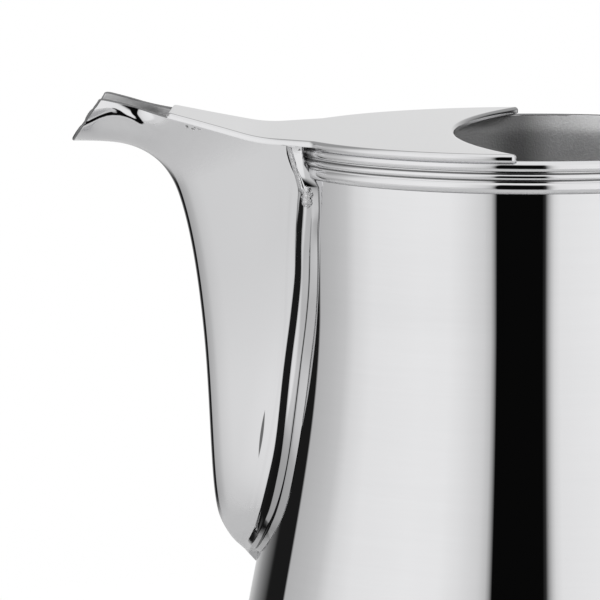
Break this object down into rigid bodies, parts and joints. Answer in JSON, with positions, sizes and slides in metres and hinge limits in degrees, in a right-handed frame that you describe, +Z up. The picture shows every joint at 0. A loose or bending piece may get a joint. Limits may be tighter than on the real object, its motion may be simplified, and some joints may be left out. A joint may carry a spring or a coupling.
{
  "type": "coffee pot",
  "caption": "Polished steel coffee pot with a bell-shaped body, beaded mouth, broad soldered spout under a fixed half cover, hinged rear lid with thumb lever, and pinned handle.",
  "frame": {"origin": "centre of the round foot, on the plane of the table", "axes": "+Z up, the spout along -X, the handle and the lid's hinge along +X, +Y across the pot"},
  "size_m": [0.1751, 0.1108, 0.203],
  "materials": {
    "polished_steel": "mirror-polished stainless steel sheet",
    "satin_steel": "satin stainless steel, unpolished inside",
    "handle_steel": "polished cast stainless steel",
    "hinge_steel": "polished stainless steel fittings"
  },
  "bodies": {
    "pot": {"body_shell": "polished_steel", "base_cup": "polished_steel", "rim_collar": "polished_steel", "spout_left_half": "polished_steel", "spout_right_half": "polished_steel", "spout_flange": "polished_steel", "spout_strainer": "satin_steel", "front_cover": "polished_steel", "hinge_bracket": "hinge_steel", "hinge_pin": "hinge_steel", "upper_socket": "handle_steel", "lower_socket": "handle_steel", "handle": "handle_steel", "handle_pins": "handle_steel"},
    "lid": {"lid_plate": "polished_steel", "hinge_leaf": "hinge_steel", "thumb_lever": "hinge_steel", "lid_rivets": "hinge_steel"}
  },
  "joints": [
    {"name": "lid_hinge", "type": "hinge", "parent": "pot", "child": "lid", "pos_m": [0.0495, 0, 0.13845], "axis": [0, 1, 0], "range_deg": [-105, 0]}
  ]
}
